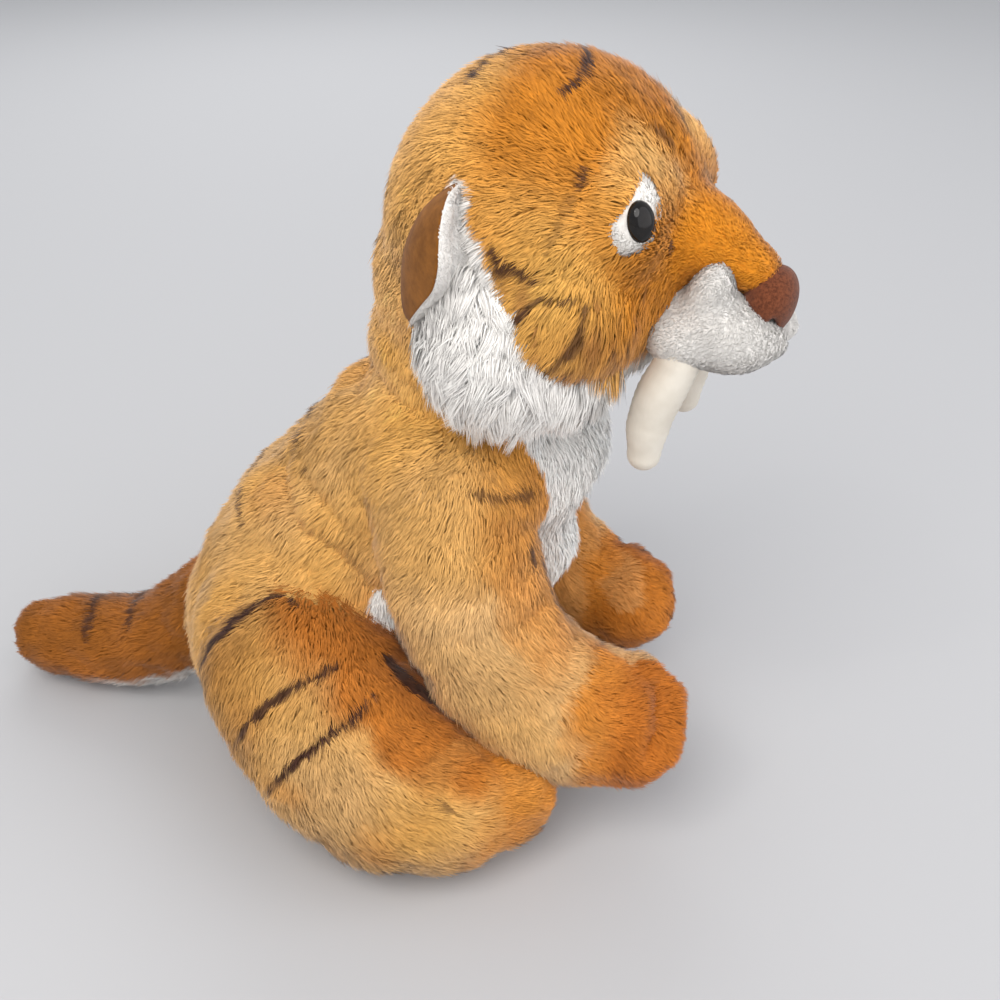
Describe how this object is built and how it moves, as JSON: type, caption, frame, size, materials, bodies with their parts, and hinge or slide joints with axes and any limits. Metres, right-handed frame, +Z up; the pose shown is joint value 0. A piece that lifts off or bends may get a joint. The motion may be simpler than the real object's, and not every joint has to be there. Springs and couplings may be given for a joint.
{
  "type": "plush sabre-toothed cat toy",
  "caption": "Sitting stuffed soft toy of a sabre-toothed cat in striped tan and orange plush, with white bib and ruff, brown-backed ears, cream cloth fangs, curled paws and a stuffed tail.",
  "frame": {"origin": "middle of the flat seat under the body, on the surface the toy sits on", "axes": "+Z up, the toy's body faces -Y and its tail lies along +Y, its right side is -X"},
  "size_m": [0.2234, 0.3479, 0.303],
  "materials": {
    "tan_fur": "matte",
    "orange_fur": "matte",
    "white_fur": "matte",
    "tooth_cloth": "matte",
    "nose_velour": "matte",
    "ear_suede": "matte",
    "fibre_filling": "matte",
    "pouch_cloth": "matte",
    "eye_plastic": "gloss",
    "washer_plastic": "matte"
  },
  "bodies": {
    "torso": {"body_shell": "tan_fur", "chest_bib": "white_fur", "body_filling": "fibre_filling", "pellet_pouch": "pouch_cloth"},
    "neck": {"neck_sleeve": "tan_fur", "neck_filling": "fibre_filling"},
    "head": {"head_shell": "orange_fur", "head_filling": "fibre_filling", "snout_bridge": "orange_fur", "nose": "nose_velour", "chin": "white_fur", "whisker_pad_right": "white_fur", "whisker_pad_left": "white_fur", "cheek_right": "orange_fur", "cheek_left": "orange_fur", "ruff_right": "white_fur", "ruff_left": "white_fur", "eye_right": "eye_plastic", "eye_left": "eye_plastic", "eye_washer_right": "washer_plastic", "eye_washer_left": "washer_plastic", "eye_patch_right": "white_fur", "eye_patch_left": "white_fur"},
    "ear_right": {"ear_back_right": "ear_suede", "ear_front_right": "white_fur"},
    "ear_left": {"ear_back_left": "ear_suede", "ear_front_left": "white_fur"},
    "tooth_right": {"sabre_tooth_right": "tooth_cloth"},
    "tooth_left": {"sabre_tooth_left": "tooth_cloth"},
    "arm_right": {"front_leg_right": "tan_fur", "front_leg_filling_right": "fibre_filling"},
    "arm_left": {"front_leg_left": "tan_fur", "front_leg_filling_left": "fibre_filling"},
    "leg_right": {"hind_leg_right": "tan_fur", "hind_leg_filling_right": "fibre_filling"},
    "leg_left": {"hind_leg_left": "tan_fur", "hind_leg_filling_left": "fibre_filling"},
    "tail": {"tail_sleeve": "orange_fur", "tail_underside": "white_fur", "tail_filling": "fibre_filling"}
  },
  "joints": [
    {"name": "head_turn", "type": "hinge", "parent": "torso", "child": "neck", "pos_m": [0, -0.066, 0.185], "axis": [0, 0, 1], "range_deg": [-26, 54], "stiffness_Nm_per_rad": 0.5},
    {"name": "head_nod", "type": "hinge", "parent": "neck", "child": "head", "pos_m": [0, -0.066, 0.185], "axis": [0.9703, -0.2419, 0], "range_deg": [-12, 12], "stiffness_Nm_per_rad": 0.7},
    {"name": "ear_fold_right", "type": "hinge", "parent": "head", "child": "ear_right", "pos_m": [-0.05821, -0.06385, 0.245], "axis": [0, 0, 1], "range_deg": [-15, 15], "stiffness_Nm_per_rad": 0.01},
    {"name": "ear_fold_left", "type": "hinge", "parent": "head", "child": "ear_left", "pos_m": [0.0524, -0.09143, 0.245], "axis": [0, 0, 1], "range_deg": [-15, 15], "stiffness_Nm_per_rad": 0.01},
    {"name": "tooth_bend_right", "type": "hinge", "parent": "head", "child": "tooth_right", "pos_m": [-0.04288, -0.14291, 0.209], "axis": [0.9703, -0.2419, 0], "range_deg": [-12, 12], "stiffness_Nm_per_rad": 0.012},
    {"name": "tooth_bend_left", "type": "hinge", "parent": "head", "child": "tooth_left", "pos_m": [0.00175, -0.15404, 0.209], "axis": [0.9703, -0.2419, 0], "range_deg": [-12, 12], "stiffness_Nm_per_rad": 0.012},
    {"name": "front_leg_swing_right", "type": "hinge", "parent": "torso", "child": "arm_right", "pos_m": [-0.05, -0.076, 0.137], "axis": [-1, 0, 0], "range_deg": [-3, 35], "stiffness_Nm_per_rad": 0.3},
    {"name": "front_leg_swing_left", "type": "hinge", "parent": "torso", "child": "arm_left", "pos_m": [0.05, -0.076, 0.137], "axis": [-1, 0, 0], "range_deg": [-3, 35], "stiffness_Nm_per_rad": 0.3},
    {"name": "hind_leg_splay_right", "type": "hinge", "parent": "torso", "child": "leg_right", "pos_m": [-0.065, -0.006, 0.072], "axis": [0, 0, -1], "range_deg": [0, 25], "stiffness_Nm_per_rad": 0.4},
    {"name": "hind_leg_splay_left", "type": "hinge", "parent": "torso", "child": "leg_left", "pos_m": [0.065, -0.006, 0.072], "axis": [0, 0, 1], "range_deg": [0, 25], "stiffness_Nm_per_rad": 0.4},
    {"name": "tail_wag", "type": "hinge", "parent": "torso", "child": "tail", "pos_m": [0, 0.052, 0.046], "axis": [0, 0, 1], "range_deg": [-25, 25], "stiffness_Nm_per_rad": 0.3}
  ]
}
